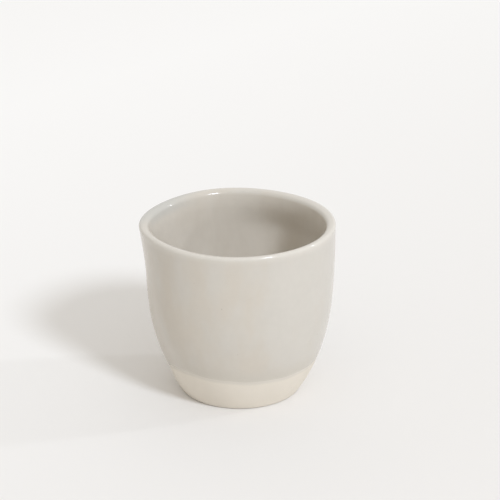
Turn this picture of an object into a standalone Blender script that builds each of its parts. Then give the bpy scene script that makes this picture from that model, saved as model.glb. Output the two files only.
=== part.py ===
"""Hand-made espresso cup without a handle: a porcelain body with a bare foot, a dipped outer glaze
and a poured liner glaze.

Each piece is turned from a profile about the foot's axis and then pulled out of round by one
shared rule, so that the coats follow the clay everywhere. Metres, +Z up, standing on z = 0.
"""

import math

import bpy

# Overall form
CUP_HEIGHT = 0.060
RIM_RADIUS = 0.0320
FOOT_RADIUS = 0.0204  # where the wall's curve would meet the table
BELLY = 3.4  # the higher, the fuller the wall is low down
WALL = 0.0033
FLOOR = 0.0048
HOLLOW_CORNER = 0.0110
LIP_OUTSIDE = 0.00115  # radius of the lip's outer rounding; the inner one takes the rest of the wall

# Foot
FOOT_EDGE = 0.0012
FOOT_RING_WIDTH = 0.0032
RECESS = 0.0012
RECESS_SLOPE = 0.0016

# Glaze coats
COAT = 0.0003
COAT_GAP = 0.0003
COAT_PROUD = 0.0001
GLAZE_LINE = 0.01285
LINER_TOP = 0.0045  # below the rim

# Unevenness of the hand-made form; angles are in degrees, counted from +X towards +Y
RIM_PULL = 0.00205
PULL_AT = 189
PULL_SPREAD = 40  # to each side, where the pull is halved
PULL_FROM = 0.0426
PULL_POWER = 1.5
HOLLOW_SHIFT = 0.0002
# Each wave is its lobes round the cup, its height and the angle of one crest
RIM_WAVES = ((1, 0.00008, 34), (2, 0.0001, 18), (3, 0.00015, -26), (4, 0.00013, 24))
RIM_WAVE_POWER = 3  # the higher, the sooner the rim's waves die away down the wall
GLAZE_WAVES = ((1, 0.00045, 200), (3, 0.0003, 228), (13, 0.0001, 235))
GLAZE_RUN = 0.0045  # how far the glaze ran down at one side
RUN_AT = 184
RUN_NARROW = 12  # the higher, the less of the cup the run takes up
GLAZE_WAVE_REACH = 0.0090  # above and below the glaze line

# Fineness of the faceted solids
TURN_STEPS = 60
WALL_STEPS = 7
LIP_STEPS = 4
CORNER_STEPS = 4
FOOT_STEPS = 3
CRISP_FROM = 40  # degrees that an edge bends by to stay crisp in the shading
MERGE_WITHIN = 0.00001

# Finishes: colour, roughness
BISCUIT = ((0.76, 0.70, 0.61), 0.78)
DIPPED_GLAZE = ((0.615, 0.575, 0.512), 0.14)
POURED_GLAZE = ((0.62, 0.577, 0.51), 0.14)

LIP_INSIDE = WALL - LIP_OUTSIDE
OUTSIDE_TOP = CUP_HEIGHT - LIP_OUTSIDE
INSIDE_TOP = CUP_HEIGHT - LIP_INSIDE
CLAY_DEPTH = COAT + COAT_GAP


def spread(first, last, steps):
    """Evenly spaced values from first to last, both included."""
    return [first + (last - first) * i / steps for i in range(steps + 1)]


def arc(centre, radius, first, last, steps):
    """Points of an arc in the profile's plane, between two angles counted from the outside upwards."""
    across, up = centre
    angles = spread(first, last, steps)
    return [(across + radius * math.cos(a), up + radius * math.sin(a)) for a in angles]


def skin_radius(height):
    """Outer radius of the turned cup, before it is pulled out of round."""
    left = min(max(1 - height / CUP_HEIGHT, 0), 1)
    return FOOT_RADIUS + (RIM_RADIUS - FOOT_RADIUS) * (1 - left**BELLY)


def skin_lean(height):
    """Angle by which the outer wall leans outwards at a height."""
    left = min(max(1 - height / CUP_HEIGHT, 0), 1)
    return math.atan((RIM_RADIUS - FOOT_RADIUS) * BELLY / CUP_HEIGHT * left ** (BELLY - 1))


def under_skin(height, depth):
    """Profile point that lies a depth under the outer skin, square to the wall."""
    lean = skin_lean(height)
    return skin_radius(height) - depth * math.cos(lean), height + depth * math.sin(lean)


def solve(rule, low, high):
    """Where a rising rule crosses zero between low and high."""
    for _ in range(60):
        middle = (low + high) / 2
        if rule(middle) > 0:
            high = middle
        else:
            low = middle
    return (low + high) / 2


def height_under(level, depth):
    """Height on the outer skin whose point at that depth lies at a level."""
    return solve(lambda height: under_skin(height, depth)[1] - level, -level - depth, CUP_HEIGHT)


def outside_wall(depth, bottom):
    """Down the outside, from the lip to a height on the skin."""
    return [under_skin(height, depth) for height in spread(OUTSIDE_TOP, bottom, WALL_STEPS)]


def lip_arc(depth):
    """Over the lip, from the inside to the outside, in two arcs that meet at its crest."""
    crest = skin_radius(OUTSIDE_TOP) - LIP_OUTSIDE
    inner = arc((crest, INSIDE_TOP), LIP_INSIDE - depth, math.pi, math.pi / 2, LIP_STEPS)
    outer = arc((crest, OUTSIDE_TOP), LIP_OUTSIDE - depth, math.pi / 2, 0, LIP_STEPS)
    return inner + outer[1:]


def inside_wall(depth, bottom, top, steps):
    """Up the inside, between two heights of the outer skin, at a depth under the inside skin."""
    return [under_skin(height, WALL - depth) for height in spread(bottom, top, steps)]


def corner_base():
    """Height on the outer skin where the inside wall turns into the rounded corner."""
    return height_under(FLOOR + HOLLOW_CORNER, WALL + HOLLOW_CORNER)


def inside_corner(depth):
    """Floor of the hollow from the axis, then round the corner, to where the wall starts."""
    base = corner_base()
    centre = under_skin(base, WALL + HOLLOW_CORNER)
    radius = HOLLOW_CORNER + depth
    return [(0, FLOOR - depth)] + arc(centre, radius, -math.pi / 2, -skin_lean(base), CORNER_STEPS)


def bare_foot():
    """Bare band from the glaze line down, round the foot's edge and under it to the axis."""
    shoulder = height_under(GLAZE_LINE - COAT_GAP, COAT_PROUD)
    edge_top = height_under(FOOT_EDGE, COAT_PROUD + FOOT_EDGE)
    band = [under_skin(height, COAT_PROUD) for height in spread(shoulder, edge_top, FOOT_STEPS)]
    centre = under_skin(edge_top, COAT_PROUD + FOOT_EDGE)
    edge = arc(centre, FOOT_EDGE, -skin_lean(edge_top), -math.pi / 2, FOOT_STEPS)
    ring = centre[0] - FOOT_RING_WIDTH
    return band + edge[1:] + [(ring, 0), (ring - RECESS_SLOPE, RECESS), (0, RECESS)]


def body_profile():
    """Clay: the hollow, the lip and the relieved wall under the coats, then the bare foot."""
    shoulder = height_under(GLAZE_LINE - COAT_GAP, CLAY_DEPTH)
    hollow = inside_corner(CLAY_DEPTH)
    wall = inside_wall(CLAY_DEPTH, corner_base(), INSIDE_TOP, WALL_STEPS)
    outside = outside_wall(CLAY_DEPTH, shoulder)
    return hollow + wall[1:-1] + lip_arc(CLAY_DEPTH) + outside[1:] + bare_foot()


def outer_glaze_profile():
    """Dipped coat: from its edge inside, over the lip and down to the glaze line, then back under."""
    seam = CUP_HEIGHT - LINER_TOP + COAT_GAP / 2

    def layer(depth):
        end = height_under(GLAZE_LINE, depth)
        inside = inside_wall(depth, height_under(seam, WALL - depth), INSIDE_TOP, 1)
        return inside[:1] + lip_arc(depth) + outside_wall(depth, end)[1:]

    return layer(0) + layer(COAT)[::-1]


def liner_glaze_profile():
    """Poured coat: from the axis over the floor and up to the seam, then back down under."""
    seam = CUP_HEIGHT - LINER_TOP - COAT_GAP / 2

    def layer(depth):
        top = height_under(seam, WALL - depth)
        return inside_corner(depth) + inside_wall(depth, corner_base(), top, WALL_STEPS)[1:]

    return layer(0) + layer(COAT)[::-1]


def waves(rows, angle):
    """Sum of waves at an angle round the cup."""
    return sum(size * math.cos(lobes * (angle - math.radians(crest))) for lobes, size, crest in rows)


def glaze_line_shift(angle):
    """How far above its mean height the glaze line lies at an angle."""
    aside = math.cos(angle - math.radians(RUN_AT)) - 1
    return waves(GLAZE_WAVES, angle) - GLAZE_RUN * math.exp(RUN_NARROW * aside)


def rim_pull(height, angle):
    """How far the rim is drawn outwards, most at one side and at the top."""
    rise = max((height - PULL_FROM) / (CUP_HEIGHT - PULL_FROM), 0) ** PULL_POWER
    away = (1 - math.cos(angle - math.radians(PULL_AT))) / (1 - math.cos(math.radians(PULL_SPREAD)))
    return RIM_PULL * rise * 0.5**away


def by_hand(x, y, z):
    """Where a point of the turned cup lies once the form is pulled and waved by hand."""
    angle = math.atan2(y, x)
    radius = math.hypot(x, y)
    inward = min(max((skin_radius(z) - radius) / WALL, 0), 1)

    # The hollow stands off the middle, so that the wall is thicker on the pulled side
    hollow = HOLLOW_SHIFT * inward * min(max(z / FLOOR, 0), 1)

    # The glaze line wanders up and down the outer half of the wall
    near = max(1 - ((z - GLAZE_LINE) / GLAZE_WAVE_REACH) ** 2, 0)
    slide = near**2 * glaze_line_shift(angle) if inward < 0.5 else 0
    radius += skin_radius(z + slide) - skin_radius(z)

    radius += rim_pull(z, angle)
    height = z + slide + (z / CUP_HEIGHT) ** RIM_WAVE_POWER * waves(RIM_WAVES, angle)
    return radius * math.cos(angle) + hollow, radius * math.sin(angle), height


def finish_material(name, finish):
    """Plain ceramic finish of one piece."""
    colour, roughness = finish
    material = bpy.data.materials.new(name)
    material.use_nodes = True
    shader = material.node_tree.nodes["Principled BSDF"]
    shader.inputs["Base Color"].default_value = (*colour, 1)
    shader.inputs["Roughness"].default_value = roughness
    shader.inputs["Metallic"].default_value = 0
    return material


def turn(name, profile, closed):
    """Mesh of a profile turned about Z; a closed profile is a ring, an open one ends on the axis."""
    count = len(profile)
    edges = [(i, (i + 1) % count) for i in range(count if closed else count - 1)]
    mesh = bpy.data.meshes.new(name)
    mesh.from_pydata([(r, 0, z) for r, z in profile], edges, [])
    blank = bpy.data.objects.new(name, mesh)
    bpy.context.scene.collection.objects.link(blank)
    screw = blank.modifiers.new("turn", "SCREW")
    screw.axis = "Z"
    screw.steps = TURN_STEPS
    screw.render_steps = TURN_STEPS
    screw.use_merge_vertices = True
    screw.merge_threshold = MERGE_WITHIN
    turned = bpy.data.meshes.new_from_object(blank.evaluated_get(bpy.context.evaluated_depsgraph_get()))
    bpy.data.objects.remove(blank)
    return turned


def add_piece(name, profile, closed, finish, cup, axis):
    """One piece of the cup: turned, pulled by hand, finished and set on the foot's axis."""
    mesh = turn(name, profile, closed)
    for vertex in mesh.vertices:
        vertex.co = by_hand(*vertex.co)
    mesh.shade_smooth()
    mesh.set_sharp_from_angle(angle=math.radians(CRISP_FROM))
    mesh.materials.append(finish_material(name, finish))
    piece = bpy.data.objects.new(name, mesh)
    piece.parent = axis
    cup.objects.link(piece)


def main():
    for old in list(bpy.data.objects):
        bpy.data.objects.remove(old)
    cup = bpy.data.collections.new("espresso_cup")
    bpy.context.scene.collection.children.link(cup)

    # The foot stands off the origin, so that the rim, which is pulled the other way, is centred
    axis = bpy.data.objects.new("foot_axis", None)
    axis.location = (RIM_PULL / 2, 0, 0)
    cup.objects.link(axis)

    add_piece("porcelain_body", body_profile(), False, BISCUIT, cup, axis)
    add_piece("outer_glaze", outer_glaze_profile(), True, DIPPED_GLAZE, cup, axis)
    add_piece("liner_glaze", liner_glaze_profile(), False, POURED_GLAZE, cup, axis)


main()
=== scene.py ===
"""Looks of a hand-made espresso cup: a glossy warm-grey glaze over cream porcelain that is left bare at
the foot, standing on a plain pale table.

The form is the fired cup's own: a turned profile that is pulled out of round by hand. It is made
here with fine faces, from the same sizes as the solids.
"""

import math

import bpy
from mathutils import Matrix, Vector, noise


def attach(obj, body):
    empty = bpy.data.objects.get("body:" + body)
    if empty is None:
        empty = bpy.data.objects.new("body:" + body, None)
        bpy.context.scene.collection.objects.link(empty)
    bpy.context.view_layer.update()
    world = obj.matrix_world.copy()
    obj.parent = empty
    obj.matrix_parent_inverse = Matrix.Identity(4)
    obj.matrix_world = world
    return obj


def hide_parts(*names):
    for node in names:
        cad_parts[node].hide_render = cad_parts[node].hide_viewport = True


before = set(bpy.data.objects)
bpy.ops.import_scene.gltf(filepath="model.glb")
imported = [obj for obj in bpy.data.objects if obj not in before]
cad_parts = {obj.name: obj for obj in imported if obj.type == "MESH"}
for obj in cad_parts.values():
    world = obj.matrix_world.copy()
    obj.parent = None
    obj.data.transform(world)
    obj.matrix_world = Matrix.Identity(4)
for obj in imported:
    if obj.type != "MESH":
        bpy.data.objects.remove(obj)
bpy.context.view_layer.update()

# Form of the cup, in metres
CUP_HEIGHT = 0.060
RIM_RADIUS = 0.0320
FOOT_RADIUS = 0.0204
BELLY = 3.4
WALL = 0.0033
FLOOR = 0.0048
HOLLOW_CORNER = 0.0110
LIP_OUTSIDE = 0.00115
LIP_CORNER = 0.0017
LIP_FLARE = 0.0065  # height below the rim over which the inside opens out
FLARE_LEAN = math.radians(12)
LIP_SWELL = 0.0005  # by which the wall thickens towards the lip, between two heights
SWELL_FROM, SWELL_TO = 0.030, 0.0535
LOW_SWELL = 0.0010  # by which the wall thickens towards the foot, between two heights
LOW_FROM, LOW_TO = 0.049, 0.028
LIP_FORWARD = 0.0005  # by which the mouth stands nearer to the front
OUTSIDE_TOP = CUP_HEIGHT - LIP_OUTSIDE
INSIDE_TOP = CUP_HEIGHT - LIP_FLARE

# Foot
FOOT_EDGE = 0.0012
FOOT_RING_WIDTH = 0.0032
RECESS = 0.0012
RECESS_SLOPE = 0.0016

# Glaze
COAT = 0.0003
COAT_PROUD = 0.0001  # by which the glaze stands out from the bare foot
CLAY_DEPTH = 0.00045  # of the clay under the glaze
GLAZE_LINE = 0.01285
GLAZE_ROLL = 0.0012  # height over which the lower edge of the glaze rounds off
GLAZE_FADE = 0.0015  # height above and below the glaze line over which the two colours meet

# Unevenness of the hand-made form; angles in degrees, from +X towards +Y
RIM_PULL = 0.00205
PULL_AT = 189
PULL_SPREAD = 40  # to either side, where half of the pull is left
PULL_FROM = 0.0426
PULL_POWER = 1.5
HOLLOW_SHIFT = 0.0002  # by which the inside lies further to the right
MIDDLE = RIM_PULL / 2  # where the foot's axis stands, with the pulled outline centred
# Each wave is its lobes round the cup, its height and the angle of one crest
RIM_WAVES = ((1, 0.00008, 34), (2, 0.0001, 18), (3, 0.00015, -26), (4, 0.00013, 24))
RIM_WAVE_POWER = 3
GLAZE_WAVES = ((1, 0.00045, 200), (3, 0.0003, 228), (13, 0.0001, 235))
GLAZE_RUN = 0.0045  # how far the glaze ran down at one side
RUN_AT = 184
RUN_NARROW = 12  # the higher, the less of the cup the run takes up
GLAZE_WAVE_REACH = 0.0090
OUTER_PART = 0.5  # of the wall's thickness, in which the form moves with the glaze line
DENT_DEPTH = 0.00010
DENT_SPREAD = 0.016
DENT_FROM = 0.054  # no dents above this height, so that the rim keeps its size
DENT_FADE = 0.010
INSET = 0.00003  # keeps the smooth outline inside the faceted one

# Hollows that fingers left: angle, spread of angle, height, spread above and below it, depth.
# The last one inside has a depth below 0: there the lip swells inwards.
INSIDE_HOLLOWS = ((70, 14, 0.0465, 0.0040, 0.0070, 0.0013), (40, 17, 0.0455, 0.0045, 0.0180, 0.0013),
                  (40, 28, 0.0590, 0.0040, 0.0050, -0.0011))
OUTSIDE_HOLLOWS = ((192, 26, 0.0115, 0.0060, 0.0040, 0.0006),)
INSIDE_SHARE = 0.7  # of the wall's thickness, beyond which the wall is pressed in full from inside

# Fineness of the meshes
ROUND_STEPS = 360
OUTSIDE_STEPS = 60
INSIDE_STEPS = 48
LIP_ARC_STEPS = 18
CORNER_STEPS = 16
FLOOR_STEPS = 8
ROLL_STEPS = 6
FOOT_BAND_STEPS = 26
FOOT_EDGE_STEPS = 8
HIDDEN_STEPS = 10
HALVINGS = 60  # in the search for a height

# Camera, from the photograph's viewing angle
CAMERA_AT = (0.001022, -0.68366, 0.33263)
CAMERA_AIM = (0.004350, 0, 0.049434)
CAMERA_LENS = 158.66
SENSOR = 36
CAMERA_REACH = 20

# Light: direction in degrees to the right of the camera's and above the table, distance, disc, watts, colour
KEY_LIGHT = (36.2, 39.5, 5.0, 1.0, 118.5, (0.935, 1.0, 1.10))
SIDE_LIGHT = (100.0, 26.3, 5.0, 0.30, 25.0, (0.97, 1.0, 1.07))

# Room light: strength from everywhere, then strength and direction of each broad glow
ROOM_COLOUR = (1.028, 1.0, 0.955)
ROOM_STRENGTH = 0.505
ROOM_GLOWS = ((0.42, (0, -0.6, 0.8)), (0.48, (0, 0.6, 0.8)), (0.06, (-0.6, 0, 0.8)))
GLOW_FOCUS = 5
BACKGROUND = (0.90, 0.89, 0.875)

# Table, whose colour grows lighter from the front right to the back left: a painted falloff of light
TABLE_SIZE = 12.0
TABLE_PAINTED_LIGHT_TOWARDS = (-1, 1, 0)
TABLE_NEAR, TABLE_FAR = -0.10, 0.40
TABLE_NEAR_COLOUR = (0.810, 0.793, 0.774)
TABLE_FAR_COLOUR = (0.920, 0.913, 0.902)
TABLE_ROUGHNESS = 0.85
TABLE_SHINE = 0.2

# Glaze colours
GLAZE_COLOUR = (0.606, 0.572, 0.516)
GLAZE_WARM_COLOUR = (0.602, 0.553, 0.482)
# Painted light: the glaze inside is made lighter than outside, to bring the inside up to its lit brightness
GLAZE_INSIDE_PAINTED_LIGHT_COLOUR = (0.645, 0.602, 0.536)
GLAZE_INSIDE_WARM_PAINTED_LIGHT_COLOUR = (0.618, 0.571, 0.502)
GLAZE_LIP_COLOUR = (0.655, 0.618, 0.558)
# Painted reflection: a darker, cooler colour on the lip at the back left stands in for what the glaze mirrors
# there
LIP_PAINTED_REFLECTION_COLOUR = (0.535, 0.524, 0.487)
GLAZE_POOL_COLOUR = (0.590, 0.550, 0.484)
GLAZE_EDGE_COLOUR = (0.672, 0.627, 0.555)

# Where each of them lies, from none to all of it; a facing is 1 outwards, 0 upwards and -1 inwards
LIP_HEIGHTS = (CUP_HEIGHT - 0.0032, CUP_HEIGHT - 0.0004)
LIP_FACINGS = (-0.5, 0.4)
PAINTED_REFLECTION_TOWARDS = (-0.866, 0.5, 0)  # side of the cup at which the lip gets its painted reflection
PAINTED_REFLECTION_SIDES = (0.0225, 0.0310)
PAINTED_REFLECTION_HEIGHTS = (CUP_HEIGHT - 0.0050, CUP_HEIGHT - 0.0020)
PAINTED_REFLECTION_FACINGS = (0.95, 0.50)
OUTER_FACINGS = (0.2, 0.6)
POOL_HEIGHTS = (0.0070, 0.0012)  # above the glaze line
INNER_WALL_FACINGS = (-0.80, -0.98)
INNER_FACINGS = (0.6, 0.2)  # low down, so that the floor counts as inside
INNER_HEIGHTS = (0.050, 0.030)

# Patches and clouds of colour in the glaze
STREAKS = (1, 1, 0.4)  # draws the warmer patches out in height
PATCHES = {"Spread": 0.010, "Amount": 0.8}
PATCH_RANGE = (0.88, 1.15)
WARMER_ACROSS = -4.0  # change of the patches for each metre to the right
GLAZE_CLOUDS = ({"Spread": 0.012, "Amount": 0.05}, {"Spread": 0.0022, "Amount": 0.05})

# Surface of the glaze
GLAZE_SPECKS = {"Spacing": 0.0050, "Radius": 0.05, "Share": 0.35}
GLAZE_ROUGHNESS = 0.14
GLAZE_GLOSS = {"Spread": 0.006, "Amount": 0.06}
GLAZE_SHINE = 0.35
GLAZE_GRAIN = {"Grain": 0.0030, "Detail": 1.0}
GLAZE_RELIEF = {"Distance": 0.00001, "Strength": 0.3}

# Bare fired porcelain, and the specks in it and in the glaze
BISCUIT_COLOUR = (0.757, 0.700, 0.612)
BISCUIT_CLOUDS = {"Spread": 0.007, "Amount": 0.07}
BISCUIT_SPECKS = {"Spacing": 0.003, "Radius": 0.06, "Share": 0.4}
BISCUIT_ROUGHNESS = 0.78
BISCUIT_DRYNESS = {"Spread": 0.002, "Amount": 0.2}
BISCUIT_GRAIN = {"Grain": 0.0004, "Detail": 3.0}
BISCUIT_RELIEF = {"Distance": 0.00004, "Strength": 0.5}
SPECK_COLOUR = (0.46, 0.42, 0.36)
SPECK_CORE = 0.4  # share of a speck's radius that has its full colour

# Noise that clouds and grain are made of
NOISE_MEAN = 0.5
CLOUD_NOISE = {"Detail": 3.0, "Roughness": 0.55}
GRAIN_ROUGHNESS = 0.6


def spread(first, last, steps):
    """Evenly spaced values from first to last, both included."""
    return [first + (last - first) * i / steps for i in range(steps + 1)]


def arc(centre, radius, first, last, steps):
    """Points of an arc in the profile's plane, between two angles counted from the outside upwards."""
    across, up = centre
    return [(across + radius * math.cos(a), up + radius * math.sin(a)) for a in spread(first, last, steps)]


def skin_radius(height):
    """Outer radius of the turned cup, before it is pulled out of round."""
    left = min(max(1 - height / CUP_HEIGHT, 0), 1)
    return FOOT_RADIUS + (RIM_RADIUS - FOOT_RADIUS) * (1 - left**BELLY)


def skin_lean(height):
    """Angle by which the outer wall leans outwards at a height."""
    left = min(max(1 - height / CUP_HEIGHT, 0), 1)
    return math.atan((RIM_RADIUS - FOOT_RADIUS) * BELLY / CUP_HEIGHT * left ** (BELLY - 1))


def under_skin(height, depth):
    """Profile point that lies a depth under the outer skin, square to the wall."""
    lean = skin_lean(height)
    return skin_radius(height) - depth * math.cos(lean), height + depth * math.sin(lean)


def height_under(level, depth):
    """Height on the outer skin whose point at that depth lies at a level."""
    low, high = -level - depth, CUP_HEIGHT
    for _ in range(HALVINGS):
        middle = (low + high) / 2
        if under_skin(middle, depth)[1] > level:
            high = middle
        else:
            low = middle
    return (low + high) / 2


def growth(height, first, last):
    """Smooth step from 0 at the first value to 1 at the last."""
    climb = min(max((height - first) / (last - first), 0), 1)
    return (3 - 2 * climb) * climb**2


def wall_at(height):
    """Thickness of the wall, which grows a little towards the lip and towards the foot."""
    lip_part = LIP_SWELL * growth(height, SWELL_FROM, SWELL_TO)
    return WALL + lip_part + LOW_SWELL * growth(height, LOW_FROM, LOW_TO)


def lip(depth, steps):
    """Over the lip: up the flare inside, round its inner corner and over to the rounding outside."""
    edge = skin_radius(OUTSIDE_TOP)
    inside = edge - WALL - LIP_SWELL
    corner = CUP_HEIGHT - LIP_CORNER
    low = corner + LIP_CORNER * math.sin(FLARE_LEAN) - INSIDE_TOP
    open_by = low * math.tan(FLARE_LEAN) / 2
    flare = []
    for share in spread(0, 1, steps)[:-1]:
        lean = math.atan(share * math.tan(FLARE_LEAN))
        flare.append((inside + open_by * share**2 + depth * math.cos(lean),
                      INSIDE_TOP + low * share - depth * math.sin(lean)))
    bend_at = inside + open_by + LIP_CORNER * math.cos(FLARE_LEAN)
    bend = arc((bend_at, corner), LIP_CORNER - depth, math.pi - FLARE_LEAN, math.pi / 2, steps)
    outer = arc((edge - LIP_OUTSIDE, OUTSIDE_TOP), LIP_OUTSIDE - depth, math.pi / 2, 0, steps)
    return flare + bend + outer


def hollow(depth, floor_steps, corner_steps, wall_steps):
    """From the axis over the inside floor, round its corner and up to the lip, a depth under the skin."""
    base = height_under(FLOOR + HOLLOW_CORNER, WALL + LOW_SWELL + HOLLOW_CORNER)
    centre = under_skin(base, WALL + LOW_SWELL + HOLLOW_CORNER)
    radius = HOLLOW_CORNER + depth
    floor = [(centre[0] * i / floor_steps, FLOOR - depth) for i in range(floor_steps)]
    corner = arc(centre, radius, -math.pi / 2, -skin_lean(base), corner_steps)
    heights = spread(base, INSIDE_TOP, wall_steps)
    wall = [under_skin(height, wall_at(height) - depth) for height in heights]
    return floor + corner + wall[1:-1]


def outside(depth, bottom, steps):
    """Down the outside from the lip, a depth under the skin."""
    return [under_skin(height, depth) for height in spread(OUTSIDE_TOP, bottom, steps)][1:]


def glaze_profile():
    """One coat from the inside floor over the lip to the rolled edge at the glaze line, and back under."""
    shown = hollow(INSET, FLOOR_STEPS, CORNER_STEPS, INSIDE_STEPS)
    shown += lip(INSET, LIP_ARC_STEPS)
    shown += outside(INSET, GLAZE_LINE + GLAZE_ROLL, OUTSIDE_STEPS)
    roll = []
    for turn in spread(0, math.pi / 2, ROLL_STEPS)[1:]:
        depth = INSET + (COAT - INSET) * (1 - math.cos(turn))
        roll.append(under_skin(GLAZE_LINE + GLAZE_ROLL * (1 - math.sin(turn)), depth))
    under = outside(COAT, GLAZE_LINE + GLAZE_ROLL, HIDDEN_STEPS)[::-1]
    under += lip(COAT, HIDDEN_STEPS)[::-1]
    under += hollow(COAT, FLOOR_STEPS, HIDDEN_STEPS, HIDDEN_STEPS)[::-1]
    return shown + roll + under


def body_profile():
    """Clay under the glaze, then the bare band, the rounded foot edge and the hollowed underside."""
    shoulder = GLAZE_LINE + 2 * GLAZE_ROLL
    edge_top = height_under(FOOT_EDGE, COAT_PROUD + FOOT_EDGE)
    centre = under_skin(edge_top, COAT_PROUD + FOOT_EDGE)
    ring = centre[0] - FOOT_RING_WIDTH
    clay = hollow(CLAY_DEPTH, FLOOR_STEPS, HIDDEN_STEPS, HIDDEN_STEPS)
    clay += lip(CLAY_DEPTH, HIDDEN_STEPS)
    clay += outside(CLAY_DEPTH, shoulder, HIDDEN_STEPS)
    bare = spread(shoulder - GLAZE_ROLL, edge_top, FOOT_BAND_STEPS)
    band = [under_skin(height, COAT_PROUD) for height in bare]
    edge = arc(centre, FOOT_EDGE, -skin_lean(edge_top), -math.pi / 2, FOOT_EDGE_STEPS)
    slope = [(ring - RECESS_SLOPE * s, RECESS * growth(s, 0, 1)) for s in spread(0, 1, FOOT_EDGE_STEPS)]
    underside = [((ring - RECESS_SLOPE) * (1 - s), RECESS) for s in spread(0, 1, FLOOR_STEPS)]
    return clay + band + edge[1:] + slope + underside[1:]


def waves(rows, angle):
    """Sum of waves at an angle round the cup."""
    return sum(size * math.cos(lobes * (angle - math.radians(crest))) for lobes, size, crest in rows)


def glaze_line_shift(angle):
    """How far above its mean height the glaze line lies at an angle."""
    aside = math.cos(angle - math.radians(RUN_AT)) - 1
    return waves(GLAZE_WAVES, angle) - GLAZE_RUN * math.exp(RUN_NARROW * aside)


def rim_pull(height, angle):
    """How far the rim is drawn outwards, most at one side and at the top."""
    rise = max((height - PULL_FROM) / (CUP_HEIGHT - PULL_FROM), 0) ** PULL_POWER
    away = (1 - math.cos(angle - math.radians(PULL_AT))) / (1 - math.cos(math.radians(PULL_SPREAD)))
    return RIM_PULL * rise * 0.5**away


def dent(x, y, z):
    """Shallow dents and swells that fingers left, the same through the whole wall."""
    fade = min(max((DENT_FROM - z) / DENT_FADE, 0), 1)
    return DENT_DEPTH * fade * noise.noise(Vector((x, y, z)) / DENT_SPREAD)


def finger_hollow(hollows, angle, z):
    """How far the fingers pressed the wall at a place."""
    pressed = 0
    for at, round_spread, height, above_spread, below_spread, depth in hollows:
        aside = math.remainder(angle - math.radians(at), math.tau) / math.radians(round_spread)
        above = (z - height) / (above_spread if z > height else below_spread)
        pressed += depth * math.exp(-(aside**2 + above**2) / 2)
    return pressed


def by_hand(radius, angle, z):
    """Where a point of the turned cup lies once the form is pulled, pressed, dented and waved by hand."""
    inward = min(max((skin_radius(z) - radius) / WALL, 0), 1)
    inside = min(inward / INSIDE_SHARE, 1)
    pressed = finger_hollow(INSIDE_HOLLOWS, angle, z) * inside
    pressed -= finger_hollow(OUTSIDE_HOLLOWS, angle, z) * (1 - inside)
    forward = LIP_FORWARD * growth(z, SWELL_FROM, SWELL_TO) * inside
    shift = HOLLOW_SHIFT * inward * min(max(z / FLOOR, 0), 1)
    near = max(1 - ((z - GLAZE_LINE) / GLAZE_WAVE_REACH) ** 2, 0)
    slide = near**2 * glaze_line_shift(angle) if inward < OUTER_PART else 0
    radius += skin_radius(z + slide) - skin_radius(z) + rim_pull(z, angle) + pressed
    height = z + slide + (z / CUP_HEIGHT) ** RIM_WAVE_POWER * waves(RIM_WAVES, angle)
    side = skin_radius(height)
    radius -= dent(side * math.cos(angle), side * math.sin(angle), height) * min(radius / FOOT_RADIUS, 1)
    return MIDDLE + radius * math.cos(angle) + shift, radius * math.sin(angle) - forward, height


def turned_piece(name, profile):
    """Closed mesh of a profile that starts and ends on the axis, turned and shaped by hand."""
    rows = profile[1:-1]
    points = [by_hand(0, 0, profile[0][1])]
    for radius, z in rows:
        points += [by_hand(radius, math.tau * step / ROUND_STEPS, z) for step in range(ROUND_STEPS)]
    points.append(by_hand(0, 0, profile[-1][1]))

    def at(row, step):
        return 1 + row * ROUND_STEPS + step % ROUND_STEPS

    last = len(points) - 1
    faces = []
    for step in range(ROUND_STEPS):
        faces.append((0, at(0, step), at(0, step + 1)))
        faces.append((last, at(len(rows) - 1, step + 1), at(len(rows) - 1, step)))
        for row in range(len(rows) - 1):
            faces.append((at(row, step), at(row + 1, step), at(row + 1, step + 1), at(row, step + 1)))
    mesh = bpy.data.meshes.new(name)
    mesh.from_pydata(points, [], faces)
    mesh.shade_smooth()
    piece = bpy.data.objects.new(name, mesh)
    bpy.context.scene.collection.objects.link(piece)
    return piece


def place(tree, kind, sockets=None, **settings):
    """Adds a node; a socket takes a plain value, or the output of another node as a link."""
    node = tree.nodes.new(kind)
    for name, value in settings.items():
        setattr(node, name, value)
    for name, value in (sockets or {}).items():
        if isinstance(value, bpy.types.NodeSocket):
            tree.links.new(value, node.inputs[name])
        else:
            node.inputs[name].default_value = value
    return node


def new_group(name, inputs, outputs):
    """Empty effect with named value sockets, with its two end nodes."""
    group = bpy.data.node_groups.new(name, "ShaderNodeTree")
    group.interface.new_socket("Place", in_out="INPUT", socket_type="NodeSocketVector")
    for socket, value in inputs.items():
        made = group.interface.new_socket(socket, in_out="INPUT", socket_type="NodeSocketFloat")
        made.default_value = value
    for socket in outputs:
        group.interface.new_socket(socket, in_out="OUTPUT", socket_type="NodeSocketFloat")
    return group, group.nodes.new("NodeGroupInput"), group.nodes.new("NodeGroupOutput")


def kiln_mottle_group():
    """Soft clouds of lighter and darker colour, as a factor around 1."""
    group, start, end = new_group("kiln_mottle", {"Spread": 0.01, "Amount": 0.05}, ["Factor"])
    scale = place(group, "ShaderNodeMath", {0: 1.0, 1: start.outputs["Spread"]}, operation="DIVIDE")
    cloud = place(group, "ShaderNodeTexNoise", {"Vector": start.outputs["Place"], "Scale": scale.outputs[0],
                                                **CLOUD_NOISE})
    centred = place(group, "ShaderNodeMath", {0: cloud.outputs[0], 1: NOISE_MEAN}, operation="SUBTRACT")
    factor = place(group, "ShaderNodeMath", {0: centred.outputs[0], 1: start.outputs["Amount"], 2: 1.0},
                   operation="MULTIPLY_ADD")
    group.links.new(factor.outputs[0], end.inputs["Factor"])
    return group


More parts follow.
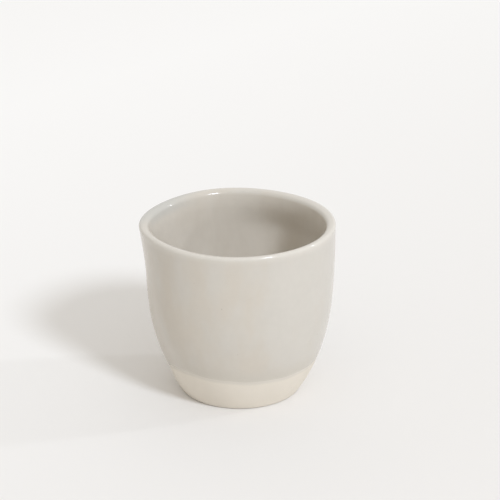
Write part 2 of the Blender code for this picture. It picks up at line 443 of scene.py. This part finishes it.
def iron_specks_group():
    """Sparse small specks, as a mask."""
    group, start, end = new_group("iron_specks", {"Spacing": 0.004, "Radius": 0.07, "Share": 0.5}, ["Mask"])
    scale = place(group, "ShaderNodeMath", {0: 1.0, 1: start.outputs["Spacing"]}, operation="DIVIDE")
    cells = place(group, "ShaderNodeTexVoronoi", {"Vector": start.outputs["Place"],
                                                  "Scale": scale.outputs[0]})
    inner = place(group, "ShaderNodeMath", {0: start.outputs["Radius"], 1: SPECK_CORE}, operation="MULTIPLY")
    spot = place(group, "ShaderNodeMapRange", {"Value": cells.outputs["Distance"],
                                               "From Min": start.outputs["Radius"],
                                               "From Max": inner.outputs[0]})
    draw = place(group, "ShaderNodeSeparateColor", {0: cells.outputs["Color"]})
    chosen = place(group, "ShaderNodeMath", {0: draw.outputs[0], 1: start.outputs["Share"]},
                   operation="LESS_THAN")
    mask = place(group, "ShaderNodeMath", {0: spot.outputs[0], 1: chosen.outputs[0]}, operation="MULTIPLY")
    group.links.new(mask.outputs[0], end.inputs["Mask"])
    return group


def fired_grain_group():
    """Fine fired texture, as a height."""
    group, start, end = new_group("fired_grain", {"Grain": 0.0005, "Detail": 2.0}, ["Height"])
    scale = place(group, "ShaderNodeMath", {0: 1.0, 1: start.outputs["Grain"]}, operation="DIVIDE")
    grain = place(group, "ShaderNodeTexNoise", {"Vector": start.outputs["Place"], "Scale": scale.outputs[0],
                                                "Detail": start.outputs["Detail"],
                                                "Roughness": GRAIN_ROUGHNESS})
    group.links.new(grain.outputs[0], end.inputs["Height"])
    return group


def effect(tree, group, where, **values):
    """Places an effect in a material with its own values, and gives its output."""
    node = place(tree, "ShaderNodeGroup", node_tree=group)
    tree.links.new(where, node.inputs["Place"])
    for name, value in values.items():
        node.inputs[name].default_value = value
    return node.outputs[0]


def blend(tree, factor, first, second, kind="MIX"):
    """Colour between two colours, each a plain colour or an output."""
    node = tree.nodes.new("ShaderNodeMix")
    node.data_type = "RGBA"
    node.blend_type = kind
    for socket, value in ((0, factor), (6, first), (7, second)):
        if isinstance(value, bpy.types.NodeSocket):
            tree.links.new(value, node.inputs[socket])
        elif socket:
            node.inputs[socket].default_value = (*value, 1)
        else:
            node.inputs[socket].default_value = value
    return node.outputs[2]


def ramp(tree, value, first, last, low=0.0, high=1.0):
    """Smooth step of a value from first to last, as a value from low to high."""
    node = place(tree, "ShaderNodeMapRange", {"Value": value, "From Min": first, "From Max": last,
                                              "To Min": low, "To Max": high}, interpolation_type="SMOOTHSTEP")
    return node.outputs[0]


def new_material(name):
    """Material with its shader and the object's own coordinates."""
    material = bpy.data.materials.new(name)
    material.use_nodes = True
    tree = material.node_tree
    where = place(tree, "ShaderNodeTexCoord").outputs["Object"]
    return material, tree, tree.nodes["Principled BSDF"], where


def bump(tree, shader, height, relief):
    """Tilts the shader's normal by the slope of a height."""
    node = place(tree, "ShaderNodeBump", {"Height": height, **relief})
    tree.links.new(node.outputs[0], shader.inputs["Normal"])


def rough(tree, shader, unevenness, mean):
    """Gives the shader a mean roughness, made uneven by a factor around 1."""
    node = place(tree, "ShaderNodeMath", {0: unevenness, 1: 1 - mean}, operation="SUBTRACT")
    tree.links.new(node.outputs[0], shader.inputs["Roughness"])


def above_glaze_line(tree, where):
    """Height of a place above the glaze line, which wanders round the cup."""
    along = place(tree, "ShaderNodeSeparateXYZ", {0: where}).outputs
    across = place(tree, "ShaderNodeMath", {0: along["X"], 1: MIDDLE}, operation="SUBTRACT")
    angle = place(tree, "ShaderNodeMath", {0: along["Y"], 1: across.outputs[0]}, operation="ARCTAN2")
    above = place(tree, "ShaderNodeMath", {0: along["Z"], 1: GLAZE_LINE}, operation="SUBTRACT")
    for lobes, size, crest in GLAZE_WAVES:
        turn = place(tree, "ShaderNodeMath", {0: angle.outputs[0], 1: lobes, 2: -lobes * math.radians(crest)},
                     operation="MULTIPLY_ADD")
        wave = place(tree, "ShaderNodeMath", {0: turn.outputs[0]}, operation="COSINE")
        above = place(tree, "ShaderNodeMath", {0: wave.outputs[0], 1: -size, 2: above.outputs[0]},
                      operation="MULTIPLY_ADD")
    turn = place(tree, "ShaderNodeMath", {0: angle.outputs[0], 1: math.radians(RUN_AT)}, operation="SUBTRACT")
    facing = place(tree, "ShaderNodeMath", {0: turn.outputs[0]}, operation="COSINE")
    aside = place(tree, "ShaderNodeMath", {0: facing.outputs[0], 1: RUN_NARROW, 2: -RUN_NARROW},
                  operation="MULTIPLY_ADD")
    run = place(tree, "ShaderNodeMath", {0: aside.outputs[0]}, operation="EXPONENT")
    above = place(tree, "ShaderNodeMath", {0: run.outputs[0], 1: GLAZE_RUN, 2: above.outputs[0]},
                  operation="MULTIPLY_ADD")
    return above.outputs[0]


def facing_outwards(tree, where):
    """How far a surface looks away from the cup's own axis: 1 outwards, 0 upwards, -1 inwards."""
    normal = place(tree, "ShaderNodeTexCoord").outputs["Normal"]
    flat = place(tree, "ShaderNodeVectorMath", {0: where, 1: (1, 1, 0)}, operation="MULTIPLY")
    outwards = place(tree, "ShaderNodeVectorMath", {0: flat.outputs[0]}, operation="NORMALIZE")
    facing = place(tree, "ShaderNodeVectorMath", {0: normal, 1: outwards.outputs[0]}, operation="DOT_PRODUCT")
    return facing.outputs["Value"]


def counts_as_inside(tree, height, outwards):
    """How much of a surface is inside the cup: its inner wall, and everything low down but the outer wall."""
    inner_wall = ramp(tree, outwards, *INNER_WALL_FACINGS)
    low_inner = ramp(tree, height, *INNER_HEIGHTS, 0.0, ramp(tree, outwards, *INNER_FACINGS))
    return place(tree, "ShaderNodeMath", {0: inner_wall, 1: low_inner}, operation="MAXIMUM").outputs[0]


def painted_lip_reflection_share(tree, where, height, outwards):
    """How much of a surface carries the painted reflection that makes the lip darker and cooler at the back
    left.
    """
    side = place(tree, "ShaderNodeVectorMath", {0: where, 1: PAINTED_REFLECTION_TOWARDS}, operation="DOT_PRODUCT")
    off_wall = ramp(tree, outwards, *PAINTED_REFLECTION_FACINGS)
    high = ramp(tree, height, *PAINTED_REFLECTION_HEIGHTS, 0.0, off_wall)
    return ramp(tree, side.outputs["Value"], *PAINTED_REFLECTION_SIDES, 0.0, high)


def patchy_glaze(tree, where, mottle):
    """Colours of the glaze outside and inside with warmer patches, outside most of them at the left; inside
    the glaze is lighter, as painted light.
    """
    streaks = place(tree, "ShaderNodeMapping", {"Vector": where, "Scale": STREAKS}).outputs[0]
    patches = effect(tree, mottle, streaks, **PATCHES)
    across = place(tree, "ShaderNodeSeparateXYZ", {0: where}).outputs["X"]
    warmth = place(tree, "ShaderNodeMath", {0: across, 1: WARMER_ACROSS, 2: patches},
                   operation="MULTIPLY_ADD").outputs[0]
    outer = blend(tree, ramp(tree, warmth, *PATCH_RANGE), GLAZE_COLOUR, GLAZE_WARM_COLOUR)
    inner_warmth = ramp(tree, patches, *PATCH_RANGE)
    return outer, blend(tree, inner_warmth, GLAZE_INSIDE_PAINTED_LIGHT_COLOUR, GLAZE_INSIDE_WARM_PAINTED_LIGHT_COLOUR)


def grey_glaze_material(mottle, specks, grain):
    """Glossy warm-grey glaze: lighter over the lip, pooled above its lower edge, sheer at that edge. Inside
    it is lighter as painted light, and the lip has a painted reflection at the back left.
    """
    material, tree, shader, where = new_material("grey_glaze")
    height = place(tree, "ShaderNodeSeparateXYZ", {0: where}).outputs["Z"]
    above = above_glaze_line(tree, where)
    outwards = facing_outwards(tree, where)
    lip_share = ramp(tree, outwards, *LIP_FACINGS, 0.0, ramp(tree, height, *LIP_HEIGHTS))
    outer_share = ramp(tree, outwards, *OUTER_FACINGS)
    colour, inside_painted_light_colour = patchy_glaze(tree, where, mottle)
    layers = (
        # painted light: the lighter glaze inside
        (counts_as_inside(tree, height, outwards), inside_painted_light_colour),
        (lip_share, GLAZE_LIP_COLOUR),
        # painted reflection on the lip at the back left
        (painted_lip_reflection_share(tree, where, height, outwards), LIP_PAINTED_REFLECTION_COLOUR),
        (ramp(tree, above, *POOL_HEIGHTS, 0.0, outer_share), GLAZE_POOL_COLOUR),
        (ramp(tree, above, GLAZE_FADE, 0.0, 0.0, outer_share), GLAZE_EDGE_COLOUR),
    )
    for share, layer in layers:
        colour = blend(tree, share, colour, layer)
    for cloud in GLAZE_CLOUDS:
        colour = blend(tree, 1.0, colour, effect(tree, mottle, where, **cloud), "MULTIPLY")
    colour = blend(tree, effect(tree, specks, where, **GLAZE_SPECKS), colour, SPECK_COLOUR)
    tree.links.new(colour, shader.inputs["Base Color"])
    rough(tree, shader, effect(tree, mottle, where, **GLAZE_GLOSS), GLAZE_ROUGHNESS)
    shader.inputs["Specular IOR Level"].default_value = GLAZE_SHINE
    bump(tree, shader, effect(tree, grain, where, **GLAZE_GRAIN), GLAZE_RELIEF)
    return material


def biscuit_porcelain_material(mottle, specks, grain):
    """Bare fired porcelain: matt cream with a fine grain, and a wash of glaze at the glaze line."""
    material, tree, shader, where = new_material("biscuit_porcelain")
    wash = ramp(tree, above_glaze_line(tree, where), -GLAZE_FADE, 0.0)
    colour = blend(tree, wash, BISCUIT_COLOUR, GLAZE_EDGE_COLOUR)
    colour = blend(tree, 1.0, colour, effect(tree, mottle, where, **BISCUIT_CLOUDS), "MULTIPLY")
    colour = blend(tree, effect(tree, specks, where, **BISCUIT_SPECKS), colour, SPECK_COLOUR)
    tree.links.new(colour, shader.inputs["Base Color"])
    rough(tree, shader, effect(tree, mottle, where, **BISCUIT_DRYNESS), BISCUIT_ROUGHNESS)
    bump(tree, shader, effect(tree, grain, where, **BISCUIT_GRAIN), BISCUIT_RELIEF)
    return material


def table():
    """Plain pale table that keeps the cup's shadows, with a painted falloff of light in its colour."""
    bpy.ops.mesh.primitive_plane_add(size=TABLE_SIZE)
    top = bpy.context.object
    top.name = "table"
    material, tree, shader, where = new_material("pale_table")
    # Painted falloff of light: the colour grows lighter towards the back left
    along = place(tree, "ShaderNodeVectorMath", {0: where, 1: TABLE_PAINTED_LIGHT_TOWARDS}, operation="DOT_PRODUCT")
    far = place(tree, "ShaderNodeMapRange", {"Value": along.outputs["Value"], "From Min": TABLE_NEAR,
                                             "From Max": TABLE_FAR})
    colour = blend(tree, far.outputs[0], TABLE_NEAR_COLOUR, TABLE_FAR_COLOUR)
    tree.links.new(colour, shader.inputs["Base Color"])
    shader.inputs["Roughness"].default_value = TABLE_ROUGHNESS
    shader.inputs["Specular IOR Level"].default_value = TABLE_SHINE
    top.data.materials.append(material)


def room():
    """Soft light from all round, more from above on three sides, and a pale background."""
    world = bpy.data.worlds.new("room")
    world.use_nodes = True
    bpy.context.scene.world = world
    tree = world.node_tree
    towards = place(tree, "ShaderNodeTexCoord").outputs["Generated"]
    light = tree.nodes["Background"]
    light.inputs["Color"].default_value = (*ROOM_COLOUR, 1)
    light.inputs["Strength"].default_value = ROOM_STRENGTH
    for strength, side in ROOM_GLOWS:
        facing = place(tree, "ShaderNodeVectorMath", {0: towards, 1: side}, operation="DOT_PRODUCT")
        ahead = place(tree, "ShaderNodeMath", {0: facing.outputs["Value"], 1: 0.0}, operation="MAXIMUM")
        focus = place(tree, "ShaderNodeMath", {0: ahead.outputs[0], 1: GLOW_FOCUS}, operation="POWER")
        share = place(tree, "ShaderNodeMath", {0: focus.outputs[0], 1: strength}, operation="MULTIPLY")
        glow = place(tree, "ShaderNodeBackground", {"Color": (*ROOM_COLOUR, 1), "Strength": share.outputs[0]})
        light = place(tree, "ShaderNodeAddShader", {0: light.outputs[0], 1: glow.outputs[0]})
    seen = place(tree, "ShaderNodeBackground", {"Color": (*BACKGROUND, 1), "Strength": 1.0})
    path = place(tree, "ShaderNodeLightPath").outputs
    shown = path["Is Camera Ray"]
    for ray in ("Is Glossy Ray", "Is Transmission Ray"):
        shown = place(tree, "ShaderNodeMath", {0: shown, 1: path[ray]}, operation="MAXIMUM").outputs[0]
    mix = place(tree, "ShaderNodeMixShader", {0: shown, 1: light.outputs[0], 2: seen.outputs[0]})
    tree.links.new(mix.outputs[0], tree.nodes["World Output"].inputs["Surface"])


def disc_light(name, settings):
    """Round soft light that is aimed at the middle of the cup."""
    right, up, distance, across, watts, colour = settings
    right, up = math.radians(right), math.radians(up)
    towards = Vector((math.sin(right) * math.cos(up), -math.cos(right) * math.cos(up), math.sin(up)))
    light = bpy.data.lights.new(name, "AREA")
    light.shape = "DISK"
    light.size = across
    light.energy = watts
    light.color = colour
    lamp = bpy.data.objects.new(name, light)
    lamp.location = Vector((0, 0, CUP_HEIGHT / 2)) + towards * distance
    lamp.rotation_euler = towards.to_track_quat("Z", "Y").to_euler()
    bpy.context.scene.collection.objects.link(lamp)


def camera():
    """Camera at the photograph's viewing angle."""
    lens = bpy.data.cameras.new("camera")
    lens.lens = CAMERA_LENS
    lens.sensor_width = SENSOR
    lens.clip_end = CAMERA_REACH
    view = bpy.data.objects.new("camera", lens)
    view.location = CAMERA_AT
    look = Vector(CAMERA_AIM) - Vector(CAMERA_AT)
    view.rotation_euler = look.to_track_quat("-Z", "Y").to_euler()
    bpy.context.scene.collection.objects.link(view)
    bpy.context.scene.camera = view


def cup():
    """The bare clay and the glaze over it, in place of the plain solids."""
    effects = kiln_mottle_group(), iron_specks_group(), fired_grain_group()
    clay = turned_piece("fired_porcelain", body_profile())
    clay.data.materials.append(biscuit_porcelain_material(*effects))
    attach(clay, "root")
    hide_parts("porcelain_body")
    glaze = turned_piece("glaze_coat", glaze_profile())
    glaze.data.materials.append(grey_glaze_material(*effects))
    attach(glaze, "root")
    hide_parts("outer_glaze", "liner_glaze")


bpy.context.scene.view_settings.view_transform = "Standard"
camera()
room()
disc_light("key_light", KEY_LIGHT)
disc_light("side_light", SIDE_LIGHT)
table()
cup()
